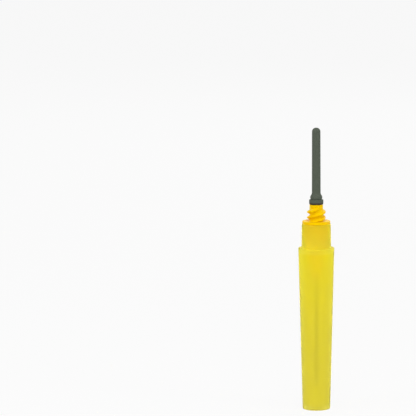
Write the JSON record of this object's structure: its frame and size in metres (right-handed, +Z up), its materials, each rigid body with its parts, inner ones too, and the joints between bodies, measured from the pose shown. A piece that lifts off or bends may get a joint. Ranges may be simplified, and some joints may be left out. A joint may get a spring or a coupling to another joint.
{
  "type": "blood collection needle",
  "caption": "Straight hollow needle, pointed at both ends, with a screw-in hub, a closed rubber sleeve over its rear point and a tapered pull-off front shield.",
  "frame": {"origin": "centre of the foot of the shield's closed end, on the surface it stands on", "axes": "+Z up along the needle's axis, from the shield's closed end to the tip of the rubber sleeve"},
  "size_m": [0.0122, 0.0122, 0.0968],
  "materials": {
    "shield_plastic": "frosted translucent yellow polypropylene",
    "hub_plastic": "glossy opaque deep yellow plastic",
    "steel": "drawn stainless steel with ground points",
    "epoxy": "clear set adhesive",
    "rubber": "matt grey-green rubber"
  },
  "bodies": {
    "shield": {"needle_shield": "shield_plastic"},
    "needle": {"needle_hub": "hub_plastic", "cannula": "steel", "cannula_adhesive": "epoxy"},
    "sleeve": {"rubber_sleeve": "rubber"}
  },
  "joints": [
    {"name": "needle_pull", "type": "slide", "parent": "shield", "child": "needle", "axis": [0, 0, 1], "range_m": [0, 0.06]},
    {"name": "sleeve_push", "type": "slide", "parent": "needle", "child": "sleeve", "axis": [0, 0, -1], "range_m": [0, 0.014], "stiffness_N_per_m": 250, "deforming": ["rubber_sleeve"]}
  ]
}
